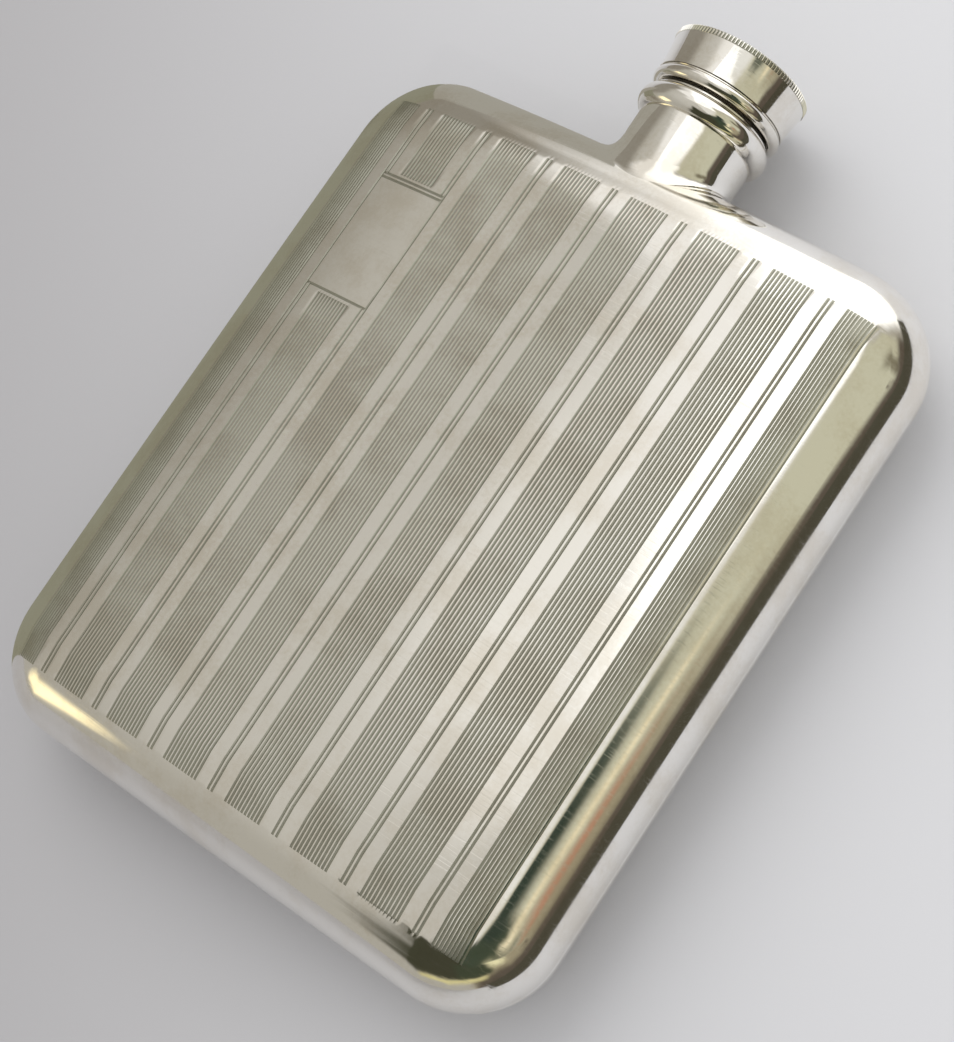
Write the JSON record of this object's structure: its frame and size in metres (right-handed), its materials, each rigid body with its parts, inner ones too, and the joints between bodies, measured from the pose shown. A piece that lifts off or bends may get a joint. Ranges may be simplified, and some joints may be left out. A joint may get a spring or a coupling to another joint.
{
  "type": "hip flask",
  "caption": "Curved silver hip flask with an engine-turned front, a short round neck and a domed screw cap with a milled rim.",
  "frame": {"origin": "bottom centre of the bounding box: the flask lies on its back and the origin is on the ground under its middle", "axes": "+Z is the normal of the engine-turned front, +Y runs from the base to the cap, +X is the width, to the right when the front is seen with the cap up"},
  "size_m": [0.09, 0.1234, 0.0232],
  "materials": {
    "silver_front": "polished, engine turned",
    "silver": "polished, warm",
    "silver_inner": "satin",
    "cork": "cork"
  },
  "bodies": {
    "flask": {"front_shell": "silver_front", "back_shell": "silver", "neck_tube": "silver", "neck_foot": "silver", "neck_collar": "silver", "mouth_thread": "silver_inner"},
    "cork": {"cork_seal": "cork"},
    "cap": {"cap_wall": "silver", "cap_base_bead": "silver", "cap_milled_rim": "silver", "cap_top_disc": "silver", "cap_thread_sleeve": "silver_inner"}
  },
  "joints": [
    {"name": "cap_lift", "type": "slide", "parent": "flask", "child": "cork", "axis": [0, 1, 0], "range_m": [0, 0.0072]},
    {"name": "cap_turn", "type": "hinge", "parent": "cork", "child": "cap", "pos_m": [0, 0.06, 0.01206], "axis": [0, 1, 0], "range_deg": [0, 1080]}
  ],
  "couplings": [
    {"joint": "cap_turn", "follows": "cap_lift", "rad_per_m": 2618}
  ]
}
